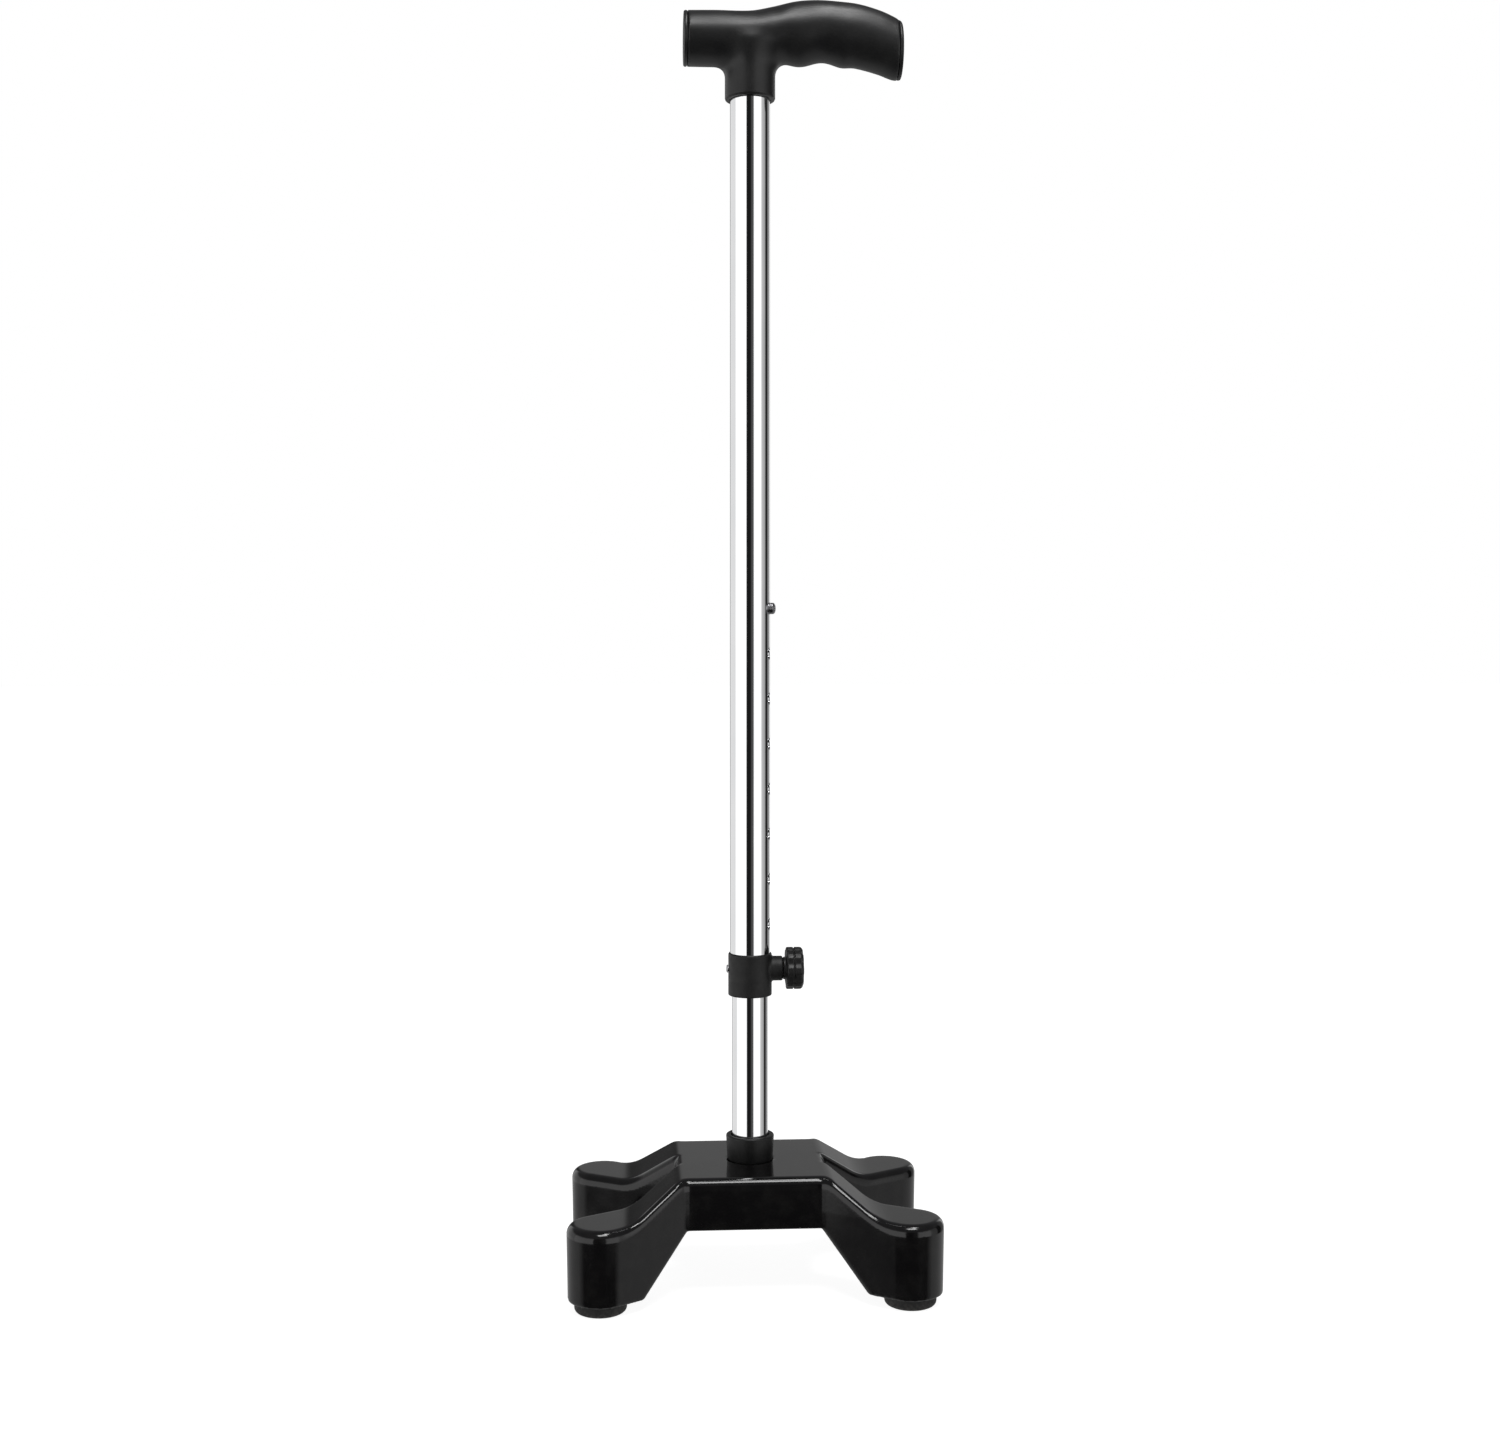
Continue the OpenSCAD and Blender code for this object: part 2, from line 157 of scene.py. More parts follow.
def turned(name, corners, look, stands_for, place=Matrix.Identity(4), sides=72):
    """A turned piece: its outline is spun about the local Z axis, then put in place.

    The outline starts and ends on the axis, or closes on itself for a ring."""
    path = rounded_path(corners)
    points, rings = [], []
    for radius, height in path:
        if radius < 1e-6:
            rings.append([len(points)] * sides)
            points.append((0, 0, height))
            continue
        rings.append(list(range(len(points), len(points) + sides)))
        for side in range(sides):
            angle = 2 * math.pi * side / sides
            points.append((radius * math.cos(angle), radius * math.sin(angle), height))
    pairs = list(zip(rings, rings[1:]))
    if corners[0][0] > 0:
        pairs.append((rings[-1], rings[0]))
    faces = []
    for inner, outer in pairs:
        for side in range(sides):
            after = (side + 1) % sides
            loop = [inner[side], inner[after], outer[after], outer[side]]
            face = list(dict.fromkeys(loop))
            if len(face) > 2:
                faces.append(face)
    placed = [tuple(place @ Vector(p)) for p in points]
    return add_piece(name, placed, faces, look, stands_for, sharp=40)


def along(direction, height):
    """The place of a turned piece whose axis points along direction at a height."""
    turn = Vector(direction).to_track_quat("Z", "Y").to_matrix().to_4x4()
    return Matrix.Translation((0, 0, height)) @ turn


# ---------------------------------------------------------------- shapes as fields
# A field is the distance to a surface in millimetres, negative inside.

def soft_union(a, b, width):
    """Both shapes, with a fillet about width wide where they meet."""
    near = np.maximum(width - np.abs(a - b), 0) / width
    return np.minimum(a, b) - near * near * width / 4


def rounded_both(a, b, radius):
    """Only where both shapes are, with the edge between them rounded."""
    outside = np.hypot(np.maximum(a + radius, 0), np.maximum(b + radius, 0))
    return outside + np.minimum(np.maximum(a, b), -radius)


def cut(shape, tool, radius=0.4):
    """The shape without the tool, with a rounded edge."""
    return rounded_both(shape, -tool, radius)


def slab(value, start, end):
    """Between two values along an axis."""
    return np.maximum(start - value, value - end)


def rounded_rectangle(x, y, half_x, half_y, corner):
    across, up = np.abs(x) - half_x + corner, np.abs(y) - half_y + corner
    outside = np.hypot(np.maximum(across, 0), np.maximum(up, 0))
    return outside + np.minimum(np.maximum(across, up), 0) - corner


def beyond_line(x, y, start, start_r, end, end_r, turn):
    """Distance beyond the line that touches two circles, on one side of them."""
    run = np.array(end) - np.array(start)
    length = np.hypot(*run)
    side = turn * ((x - start[0]) * run[1] - (y - start[1]) * run[0]) / length
    reach = ((x - start[0]) * run[0] + (y - start[1]) * run[1]) / length
    narrowing = (start_r - end_r) / length
    return side * math.sqrt(1 - narrowing ** 2) + reach * narrowing - start_r


def gradient(field, points, reach):
    """The direction in which the field grows at each point."""
    slopes = []
    for axis in range(3):
        shift = np.zeros(3)
        shift[axis] = reach
        slopes.append((field(*(points + shift).T) - field(*(points - shift).T)) / (2 * reach))
    return np.stack(slopes, axis=1)


def skin(field, lowest, highest, step):
    """Points and faces of the surface where a field is zero.

    Each cube of a grid that the surface crosses gets a point, which is then drawn onto
    the surface, and neighbouring points are joined by four-sided faces."""
    lowest = np.array(lowest, float) - 1.37 * step
    counts = np.ceil((np.array(highest) + 1.5 * step - lowest) / step).astype(int) + 1
    axes = [lowest[k] + step * np.arange(counts[k]) for k in range(3)]
    value = field(*np.meshgrid(*axes, indexing="ij"))
    inside = value < 0
    corners = [(i, j, k) for i in (0, 1) for j in (0, 1) for k in (0, 1)]
    cells = tuple(counts - 1)
    filled = np.zeros(cells, int)
    for i, j, k in corners:
        filled += inside[i:i + cells[0], j:j + cells[1], k:k + cells[2]]
    crossed = (filled > 0) & (filled < 8)
    cell = np.argwhere(crossed)
    number = np.full(cells, -1)
    number[crossed] = np.arange(len(cell))

    total, hits = np.zeros((len(cell), 3)), np.zeros((len(cell), 1))
    for corner in corners:
        for axis in range(3):
            if corner[axis]:
                continue
            step_on = np.eye(3, dtype=int)[axis]
            here = value[tuple((cell + corner).T)]
            there = value[tuple((cell + corner + step_on).T)]
            crossing = (here < 0) != (there < 0)
            share = np.where(crossing, here / np.where(crossing, here - there, 1), 0)
            total += crossing[:, None] * (np.array(corner) + share[:, None] * step_on)
            hits += crossing[:, None]
    start = lowest + step * (cell + total / hits)
    points = start.copy()
    for _ in range(4):
        slope = gradient(field, points, 0.05 * step)
        size = np.maximum((slope ** 2).sum(1), 0.05)
        move = -field(*points.T)[:, None] * slope / size[:, None]
        points = start + np.clip(points + move - start, -0.7 * step, 0.7 * step)

    faces = []
    for axis in range(3):
        b, c = np.eye(3, dtype=int)[(axis + 1) % 3], np.eye(3, dtype=int)[(axis + 2) % 3]
        a = np.eye(3, dtype=int)[axis]
        edge = np.argwhere(np.diff(inside, axis=axis))
        ring = [number[tuple((edge + shift).T)] for shift in (-b - c, -c, 0 * a, -b)]
        leaving = inside[tuple(edge.T)]
        quads = np.stack(ring, axis=1)
        quads[~leaving] = quads[~leaving][:, ::-1]
        faces.append(quads)
    return points, np.concatenate(faces)


def moulded(name, field, look, stands_for, step, margin=0.0):
    """A piece whose surface is where a field is zero, in its CAD node's box."""
    points, faces = skin(field, low(stands_for) - margin, high(stands_for) + margin, step)
    return add_piece(name, points, faces, look, stands_for)


# ---------------------------------------------------------------- base moulding

DECK_X, DECK_Y, DECK_CORNER = 42.0, 41.0, 6.0
ARCH_Z = 37.0
BASE_WALL = 3.1
SOCKET_R, SOCKET_Z = 12.0, 46.0
BOSS_R, BOSS_Z = 16.0, 42.5
PEG_R = 7.9
# An arm's two sides run from its roots to its leg, and it ends short of the leg's middle
ARM_ROOTS = ((38.0, 35.0), (36.0, 10.0))
ARM_START_X, ARM_TURN, ARM_SHORTFALL = 29.0, math.radians(32.7), 0.7
ARM_FILLET, TOP_EDGE, ARCH_EDGE = 1.2, 4.6, 1.5
RAMP_TOP_X, RAMP_FOOT_X = 40.3, 65.7


def base_outline(x, y, z):
    """The plan of the middle, arms and legs, a little smaller towards the floor."""
    leg = np.hypot(x - LEG_X, y - LEG_Y) - LEG_R
    outer, inner = [beyond_line(x, y, root, DECK_CORNER, (LEG_X, LEG_Y), LEG_R, turn)
                    for root, turn in zip(ARM_ROOTS, (-1, 1))]
    past_leg = math.cos(ARM_TURN) * (x - LEG_X) + math.sin(ARM_TURN) * (y - LEG_Y)
    arm = np.maximum.reduce([outer, inner, past_leg + ARM_SHORTFALL, ARM_START_X - x])
    deck = rounded_rectangle(x, y, DECK_X, DECK_Y, DECK_CORNER)
    draft = math.tan(math.radians(1)) * np.maximum(LEG_TOP - z, 0)
    return soft_union(deck, np.minimum(arm, leg), ARM_FILLET) + draft


def base_top(x):
    """Height of the top: level over a leg, then a ramp up to the level middle."""
    climb = (RAMP_FOOT_X - x) * (DECK_Z - LEG_TOP) / (RAMP_FOOT_X - RAMP_TOP_X)
    climb = -soft_union(-climb, 0 * climb, 5)
    return LEG_TOP + soft_union(climb, 0 * climb + DECK_Z - LEG_TOP, 2)


def base_skin(x, y, z, inset, edge):
    """The outer surface of the base, or a surface inset below it, with no underside."""
    return rounded_both(base_outline(x, y, z) + inset, 0.88 * (z - base_top(x)) + inset, edge)


def arch(reach, z, half_top, half_low):
    """The space under the base's middle: flat above, with leaning sides."""
    lean = math.atan2(half_low - half_top, ARCH_Z - LEG_LOW + 1)
    side = math.cos(lean) * (reach - half_top) + math.sin(lean) * (z - ARCH_Z)
    return np.maximum(z - ARCH_Z, side)


def base_field(x, y, z):
    x, y = np.abs(x), np.abs(y)
    outer = base_skin(x, y, z, 0, TOP_EDGE)
    outer = cut(outer, arch(x, z, DECK_X - 6, 60), ARCH_EDGE)
    outer = cut(outer, arch(y, z, 17, 30), ARCH_EDGE)
    outer = rounded_both(outer, LEG_LOW - z, 0.8)
    hollow = base_skin(x, y, z, BASE_WALL, 2)
    foot_space = np.maximum(np.hypot(x - LEG_X, y - LEG_Y) - FOOT_R - 0.25, z - FOOT_H - 3)
    shell = cut(outer, np.minimum(hollow, foot_space), 0.7)
    radius = np.hypot(x, y)
    ribs = np.maximum(np.minimum(x, y) - 1.5, BOSS_Z - z)
    boss = np.maximum(radius - BOSS_R, BOSS_Z - z)
    peg = np.maximum(np.hypot(x - LEG_X, y - LEG_Y) - PEG_R, LEG_LOW - 0.5 - z)
    inside = np.maximum(np.minimum(np.minimum(ribs, boss), peg), outer + 1.3)
    solid = soft_union(shell, inside, 1.2)
    solid = cut(solid, np.maximum(radius - SOCKET_R - 0.05, SOCKET_Z - z), 0.4)
    return cut(solid, radius - 4.3, 0.3)


def make_base(look):
    moulded("base_moulding", base_field, look, "base_shell", 1.12)


# ---------------------------------------------------------------- handle mouldings

# Along the bar: x, drop of the top and of the bottom line below the highest point, half width
BAR = np.array([
    (-37.0, 7.2, 37.2, 15.2),
    (-20.0, 6.8, 37.2, 15.2),
    (0.0, 6.7, 37.0, 15.3),
    (12.0, 4.4, 36.5, 15.4),
    (25.0, 1.1, 35.6, 15.4),
    (36.0, 0.0, 35.4, 15.2),
    (48.0, 0.4, 35.6, 14.9),
    (60.0, 1.6, 36.8, 14.5),
    (72.0, 4.8, 39.9, 14.0),
    (80.0, 8.2, 42.8, 13.6),
    (84.5, 10.9, 42.8, 13.4),
])
BAR_REAR, BAR_NOSE = low("handle_rear_cap")[0], high("handle_nose_cap")[0]
GRIP_REAR, GRIP_NOSE = low("handle_grip")[0], high("handle_grip")[0]
FINGER_PITCH, FINGER_DEPTH, FIRST_FINGER = 25.0, 1.2, 28.0


def along_bar(x, column):
    """A value of BAR at x, on a smooth curve through the rows."""
    at, value = BAR[:, 0], BAR[:, column]
    before, after = np.maximum(np.arange(len(at)) - 1, 0), np.minimum(np.arange(len(at)) + 1, len(at) - 1)
    slope = (value[after] - value[before]) / (at[after] - at[before])
    row = np.clip(np.searchsorted(at, x) - 1, 0, len(at) - 2)
    span = at[row + 1] - at[row]
    u = np.clip((x - at[row]) / span, 0, 1)
    return (
        value[row] * (2 * u ** 3 - 3 * u ** 2 + 1)
        + value[row + 1] * (3 * u ** 2 - 2 * u ** 3)
        + slope[row] * span * (u ** 3 - 2 * u ** 2 + u)
        + slope[row + 1] * span * (u ** 3 - u ** 2)
    )


def bar_field(x, y, z):
    """The endless bar: an oval across, with shallow finger rests below."""
    top, bottom, half_y = (along_bar(x, column) for column in (1, 2, 3))
    fingers = np.clip((x - 14) / 8, 0, 1) * np.clip((60 - x) / 9, 0, 1)
    wave = np.cos(2 * math.pi * (x - FIRST_FINGER) / FINGER_PITCH)
    bottom = bottom + FINGER_DEPTH * fingers * (wave - 0.3)
    half_z = (bottom - top) / 2
    up = z - (TOP_Z - (top + bottom) / 2)
    near = np.hypot(y / half_y, up / half_z)
    steep = np.hypot(y / half_y ** 2, up / half_z ** 2)
    return near * (near - 1) / np.maximum(steep, 1e-3)


def round_bar(across, up, radius):
    return np.hypot(across, up) - radius


def handle_field(x, y, z):
    bar = rounded_both(bar_field(x, y, z), slab(x, GRIP_REAR, GRIP_NOSE), 0.35)
    neck = rounded_both(round_bar(x, y, NECK_R), slab(z, NECK_LOW, NECK_LOW + 30), 1.1)
    solid = soft_union(bar, neck, 7)
    solid = cut(solid, np.maximum(round_bar(x, y, UPPER_R + 0.06), z - high("upper_tube")[2]), 0.5)
    solid = cut(solid, np.maximum(round_bar(y, z - TOP_Z + 22, 9.1), x - GRIP_REAR - 21), 0.3)
    solid = cut(solid, np.maximum(round_bar(y, z - TOP_Z + 26, 9.1), GRIP_NOSE - 24 - x), 0.3)
    screw = np.minimum(
        np.maximum(round_bar(x, z - SCREW_Z, 1.6), -y),
        np.maximum(round_bar(x, z - SCREW_Z, 3.05), 12.6 - y),
    )
    return cut(solid, screw, 0.25)


def cap_field(x, y, z, seat, end, core_z):
    """An end cap: a slightly domed plate as wide as the bar, with a plug behind it."""
    outward = 1 if end > seat else -1
    inset = 0.25 * np.clip((outward * (seat - x) + 0.35) / 0.35, 0, 1)
    middle = TOP_Z - (along_bar(np.array([end]), 1) + along_bar(np.array([end]), 2))[0] / 2
    dish = 0.5 * np.exp(-(np.hypot(y, z - middle) / 7.5) ** 4)
    face = outward * (x - end) + dish
    plate = rounded_both(bar_field(x, y, z) + inset, np.maximum(face, outward * (seat - x)), 0.9)
    plug_length = slab(outward * x, outward * seat - 9, outward * seat + 1)
    plug = np.maximum(round_bar(y, z - core_z, 9.0), plug_length)
    return np.minimum(plate, plug)


def rear_cap_field(x, y, z):
    return cap_field(x, y, z, GRIP_REAR, BAR_REAR, TOP_Z - 22)


def nose_cap_field(x, y, z):
    return cap_field(x, y, z, GRIP_NOSE, BAR_NOSE, TOP_Z - 26)


def make_handle(look, steel):
    moulded("handle_moulding", handle_field, look, "handle_grip", 0.95)
    moulded("handle_rear_cap_moulding", rear_cap_field, look, "handle_rear_cap", 0.5)
    moulded("handle_nose_cap_moulding", nose_cap_field, look, "handle_nose_cap", 0.5)
    moulded("handle_screw_cross_head", screw_field, steel, "handle_screw", 0.16)


def screw_field(x, y, z):
    """A pan-head screw along Y with a cross recess."""
    up = z - SCREW_Z
    radius = np.hypot(x, up)
    head_top = high("handle_screw")[1]
    seat = head_top - 1.5
    crown = head_top - radius ** 2 / 30
    head = rounded_both(radius - 2.85, np.maximum(seat - y, y - crown), 0.4)
    wing = np.minimum(np.abs(x), np.abs(up)) - 0.34
    reach = np.maximum(np.abs(x), np.abs(up)) - 1.7 + 0.9 * np.maximum(head_top - y, 0)
    recess = np.maximum(np.maximum(wing, reach), head_top - 1.3 - y)
    thread = 0.12 * np.cos(2 * math.pi * y / 0.9 + np.arctan2(up, x))
    shank = np.maximum(radius - 1.38 - thread, slab(y, low("handle_screw")[1], seat + 0.2))
    return np.minimum(cut(head, recess, 0.1), shank)


# ---------------------------------------------------------------- collar and clamp

BOSS_END = high("clamp_insert")[0]
COLLAR_R = high("lock_collar")[1]
COLLAR_LOW, COLLAR_HIGH = low("lock_collar")[2], high("lock_collar")[2]
INSERT_R = high("clamp_insert")[1]
FLUTES, FLUTE_R = 8, 3.8


def collar_field(x, y, z):
    radius = np.hypot(x, y)
    side = round_bar(y, z - CLAMP_Z, high("clamp_insert")[1] + 2.5)
    ring = rounded_both(rounded_both(radius - COLLAR_R, z - COLLAR_HIGH, 1.2), COLLAR_LOW - z, 0.5)
    boss = rounded_both(side, slab(x, 4, BOSS_END), 0.7)
    solid = soft_union(ring, boss, 1.2)
    bore = np.minimum(
        np.maximum(radius - UPPER_R - 0.05, low("upper_tube")[2] - z),
        radius - LOWER_R - 0.3,
    )
    solid = cut(solid, bore, 0.3)
    solid = cut(solid, np.maximum(round_bar(y, z - CLAMP_Z, HOLE_R), -x), 0.2)
    solid = cut(solid, np.maximum(round_bar(y, z - CLAMP_Z, INSERT_R), low("clamp_insert")[0] - x), 0.2)
    return cut(solid, np.maximum(round_bar(y, z - CLAMP_Z, 1.55), x), 0.2)


def knob_field(x, y, z):
    """The thumb knob: eight flutes round the rim, a groove, a short hub and a dished face."""
    up = z - CLAMP_Z
    radius = np.hypot(y, up)
    outer, inner_x, outer_x = high("clamp_knob")[1], low("clamp_knob")[0] + 1.6, high("clamp_knob")[0]
    turn = 2 * math.pi / FLUTES
    angle = np.mod(np.arctan2(up, y), turn) - turn / 2
    centre = outer + FLUTE_R - 1.0
    flute = np.hypot(radius * np.cos(angle) - centre, radius * np.sin(angle)) - FLUTE_R
    outline = cut(radius - outer, flute, 0.9)
    dish = 0.7 * np.clip(1 - (radius / 8.5) ** 2, 0, 1)
    rim = rounded_both(outline, x - outer_x + dish, 2.1)
    rim = rounded_both(rim, inner_x - x, 0.8)
    groove = np.maximum(np.abs(x - inner_x - 4.2) - 0.35, -(outline + 0.6))
    rim = cut(rim, groove, 0.15)
    hub = rounded_both(radius - 6.2, slab(x, low("clamp_knob")[0], inner_x + 2), 0.3)
    return cut(soft_union(rim, hub, 0.8), np.maximum(radius - 2.98, x - high("clamp_stud")[0]), 0.15)


def threaded(name, look, stands_for, pitch, depth):
    """A threaded stud along X with bevelled ends, in its CAD node's box."""
    start, end, outer = low(stands_for)[0], high(stands_for)[0], high(stands_for)[1]
    middle = (low(stands_for) + high(stands_for)) / 2
    sides, rows_per_pitch = 48, 8
    rows = int((end - start) / pitch * rows_per_pitch) + 1
    points, faces = [], []
    for row in range(rows + 1):
        reach = min(start + row * pitch / rows_per_pitch, end)
        bevel = max(0.0, 0.7 - (reach - start), 0.7 - (end - reach))
        for side in range(sides):
            phase = ((reach - start) / pitch - side / sides) % 1
            groove = depth * min(1.0, max(0.0, 2.4 * abs(phase - 0.5) - 0.1))
            radius = outer - max(groove, bevel)
            angle = 2 * math.pi * side / sides
            across, up = radius * math.cos(angle), radius * math.sin(angle)
            points.append((reach, middle[1] + across, middle[2] + up))
    for row in range(rows):
        for side in range(sides):
            after = (side + 1) % sides
            faces.append((
                row * sides + side, row * sides + after,
                (row + 1) * sides + after, (row + 1) * sides + side,
            ))
    faces.append(range(sides - 1, -1, -1))
    faces.append(range(rows * sides, (rows + 1) * sides))
    return add_piece(name, points, faces, look, stands_for, sharp=50)


def make_clamp(looks):
    moulded("lock_collar_moulding", collar_field, looks["collar"], "lock_collar", 0.45)
    moulded("clamp_knob_moulding", knob_field, looks["knob"], "clamp_knob", 0.36)
    threaded("clamp_stud_threaded", looks["steel"], "clamp_stud", 1.0, 0.5)
    head_base = -low("collar_rivet")[0] - 1
    tail = -high("collar_rivet")[0]
    head_r = high("collar_rivet")[1]
    turned("collar_rivet_domed", [
        (0, tail, 0), (1.5, tail, 0.15), (1.5, head_base, 0), (head_r, head_base, 0.1),
        (head_r * 0.93, head_base + 0.55, 0.5), (head_r * 0.5, head_base + 0.95, 0.8),
        (0, head_base + 1, 0),
    ], looks["steel"], "collar_rivet", along((-1, 0, 0), CLAMP_Z), sides=48)


# ---------------------------------------------------------------- tubes

TUBE_COLUMNS = 96


def tube_rows(start, end, cell, holes):
    """Heights of the rows of points up a tube: fine beside each hole, and coarse elsewhere."""
    fine = set()
    for _, height, _, _, reach in holes:
        fine.update(height + cell * step for step in range(-reach, reach + 1))
    marks = sorted({start, end} | fine)
    rows = [marks[0]]
    for mark in marks[1:]:
        gap = mark - rows[-1]
        if gap < 1e-6:
            continue
        last, pieces = rows[-1], max(1, round(gap / 10))
        rows.extend(last + gap * (k + 1) / pieces for k in range(pieces))
    return np.array(rows)


def round_hole_point(i, j):
    """The point of the circle that grid point (i, j) of a square goes to, as a direction."""
    if abs(i) >= abs(j):
        angle = math.pi / 4 * j / i
        return math.copysign(1, i) * math.cos(angle), math.copysign(1, i) * math.sin(angle)
    angle = math.pi / 2 - math.pi / 4 * i / j
    return math.copysign(1, j) * math.cos(angle), math.copysign(1, j) * math.sin(angle)


def tube(name, look, stands_for, outer_r, openings):
    """A drilled tube on the Z axis. An opening is (azimuth, height, radius)."""
    step = 2 * math.pi / TUBE_COLUMNS
    cell = outer_r * step
    chamfer = 0.18
    holes = []
    for azimuth, height, radius in openings:
        core = max(2, round(0.9 * radius / cell))
        holes.append((azimuth, height, radius, core, 2 * core))
    rows = tube_rows(low(stands_for)[2], high(stands_for)[2], cell, holes)
    count = len(rows)

    def wall(radius_at, widen):
        turn = np.tile(np.arange(TUBE_COLUMNS) * step, (count, 1))
        rise = np.tile(rows[:, None], (1, TUBE_COLUMNS))
        for azimuth, height, radius, core, reach in holes:
            row0 = int(np.argmin(np.abs(rows - height)))
            column0 = round(math.radians(azimuth) / step)
            for i in range(-reach, reach + 1):
                for j in range(-reach, reach + 1):
                    ring = max(abs(i), abs(j))
                    if ring < core:
                        continue
                    share = (ring - core) / (reach - core)
                    across, up = round_hole_point(i, j)
                    size = radius + widen + (ring - core) * cell
                    angle = (1 - share) * math.asin(across * size / radius_at) + share * i * step
                    place = (row0 + j, (column0 + i) % TUBE_COLUMNS)
                    turn[place] = column0 * step + angle
                    rise[place] = height + (1 - share) * up * size + share * j * cell
        return np.stack([radius_at * np.cos(turn), radius_at * np.sin(turn), rise], axis=-1)

    outer = wall(outer_r, chamfer)
    inner = wall(outer_r - TUBE_WALL, 0.0)
    kept = np.ones((count - 1, TUBE_COLUMNS), bool)
    for azimuth, height, _, core, _ in holes:
        row0 = int(np.argmin(np.abs(rows - height)))
        column0 = round(math.radians(azimuth) / step)
        for i in range(-core, core):
            for j in range(-core, core):
                kept[row0 + j, (column0 + i) % TUBE_COLUMNS] = False

    points = [*outer.reshape(-1, 3), *inner.reshape(-1, 3)]
    faces = []
    behind = count * TUBE_COLUMNS
    for row, column in np.argwhere(kept):
        after = (column + 1) % TUBE_COLUMNS
        quad = [
            row * TUBE_COLUMNS + column, row * TUBE_COLUMNS + after,
            (row + 1) * TUBE_COLUMNS + after, (row + 1) * TUBE_COLUMNS + column,
        ]
        faces.append(quad)
        faces.append([behind + index for index in reversed(quad)])
    for row in (0, count - 1):
        for column in range(TUBE_COLUMNS):
            first = row * TUBE_COLUMNS + column
            second = row * TUBE_COLUMNS + (column + 1) % TUBE_COLUMNS
            rim = [first, behind + first, behind + second, second]
            faces.append(rim if row == 0 else rim[::-1])
    for azimuth, height, radius, core, _ in holes:
        row0 = int(np.argmin(np.abs(rows - height)))
        column0 = round(math.radians(azimuth) / step)
        edge = (
            [(core, j) for j in range(-core, core)] + [(i, core) for i in range(core, -core, -1)]
            + [(-core, j) for j in range(core, -core, -1)] + [(i, -core) for i in range(-core, core)]
        )
        outside = [(row0 + j) * TUBE_COLUMNS + (column0 + i) % TUBE_COLUMNS for i, j in edge]
        middle = list(range(len(points), len(points) + len(edge)))
        for i, j in edge:
            across, up = round_hole_point(i, j)
            depth_r = outer_r - chamfer
            angle = column0 * step + math.asin(across * radius / depth_r)
            points.append(np.array((
                depth_r * math.cos(angle), depth_r * math.sin(angle), height + up * radius
            )))
        inside = [behind + index for index in outside]
        for ring, deeper in ((outside, middle), (middle, inside)):
            for k in range(len(edge)):
                after = (k + 1) % len(edge)
                faces.append([ring[k], ring[after], deeper[after], deeper[k]])
    return add_piece(name, points, faces, look, stands_for, sharp=28)


def make_tubes(look):
    openings = [
        (BUTTON_AZIMUTH, CLAMP_Z + step * HOLE_PITCH, HOLE_R) for step in range(1, HOLE_COUNT + 1)
    ]
    openings += [
        (KNOB_AZIMUTH, CLAMP_Z, HOLE_R),
        (RIVET_AZIMUTH, CLAMP_Z, 1.5),
        (SCREW_AZIMUTH, SCREW_Z, 1.5),
    ]
    tube("upper_tube_drilled", look, "upper_tube", UPPER_R, openings)
    tube("lower_tube_drilled", look, "lower_tube", LOWER_R, [(BUTTON_AZIMUTH, BUTTON_Z, HOLE_R)])


# ---------------------------------------------------------------- small turned pieces

def make_feet(look):
    """Rubber feet: a rounded sole with two grooves, and a cup for the leg's peg."""
    for side_y, front_back in ((-1, "front"), (1, "rear")):
        for side_x, left_right in ((-1, "left"), (1, "right")):
            node = f"foot_{front_back}_{left_right}"
            corners = [
                (0, 0, 0), (4, 0, 0.3), (4, 1.2, 0.2), (5.2, 1.2, 0.2), (5.2, 0, 0.3),
                (8, 0, 0.3), (8, 1.2, 0.2), (9.2, 1.2, 0.2), (9.2, 0, 0.3),
                (FOOT_R, 0, 2.5), (FOOT_R, FOOT_H, 0.8), (PEG_R, FOOT_H, 0.5), (PEG_R, 5, 0.4), (0, 5, 0),
            ]
            place = Matrix.Translation((side_x * LEG_X, side_y * LEG_Y, 0))
            turned(node + "_rubber", corners, look, node, place)


def make_hub_ring(look):
    """The collar where the lower tube enters the base, with a rounded mouth."""
    top = high("hub_collar")[2]
    wide = high("hub_collar")[0]
    bore = LOWER_R + 0.03
    turned("hub_ring", [
        (bore, SOCKET_Z, 0), (SOCKET_R - 0.05, SOCKET_Z, 0.4), (SOCKET_R - 0.05, DECK_Z + 0.02, 0),
        (wide - 0.8, DECK_Z + 0.02, 0.3), (wide, top, 0.9), (bore + 0.7, top, 0.6), (bore, top - 2, 0.5),
    ], look, "hub_collar", sides=96)


def make_button(look):
    direction = Vector((math.cos(math.radians(BUTTON_AZIMUTH)), math.sin(math.radians(BUTTON_AZIMUTH)), 0))
    start, end = 6.9, 14.4
    turned("snap_button_pin", [
        (0, start, 0), (4.2, start, 0.2), (4.2, start + 1, 0.2), (3.15, start + 1, 0.15),
        (3.15, end - 0.9, 1.1), (2.0, end - 0.2, 1.4), (0, end, 0),
    ], look, "snap_button", along(direction, BUTTON_Z), sides=48)


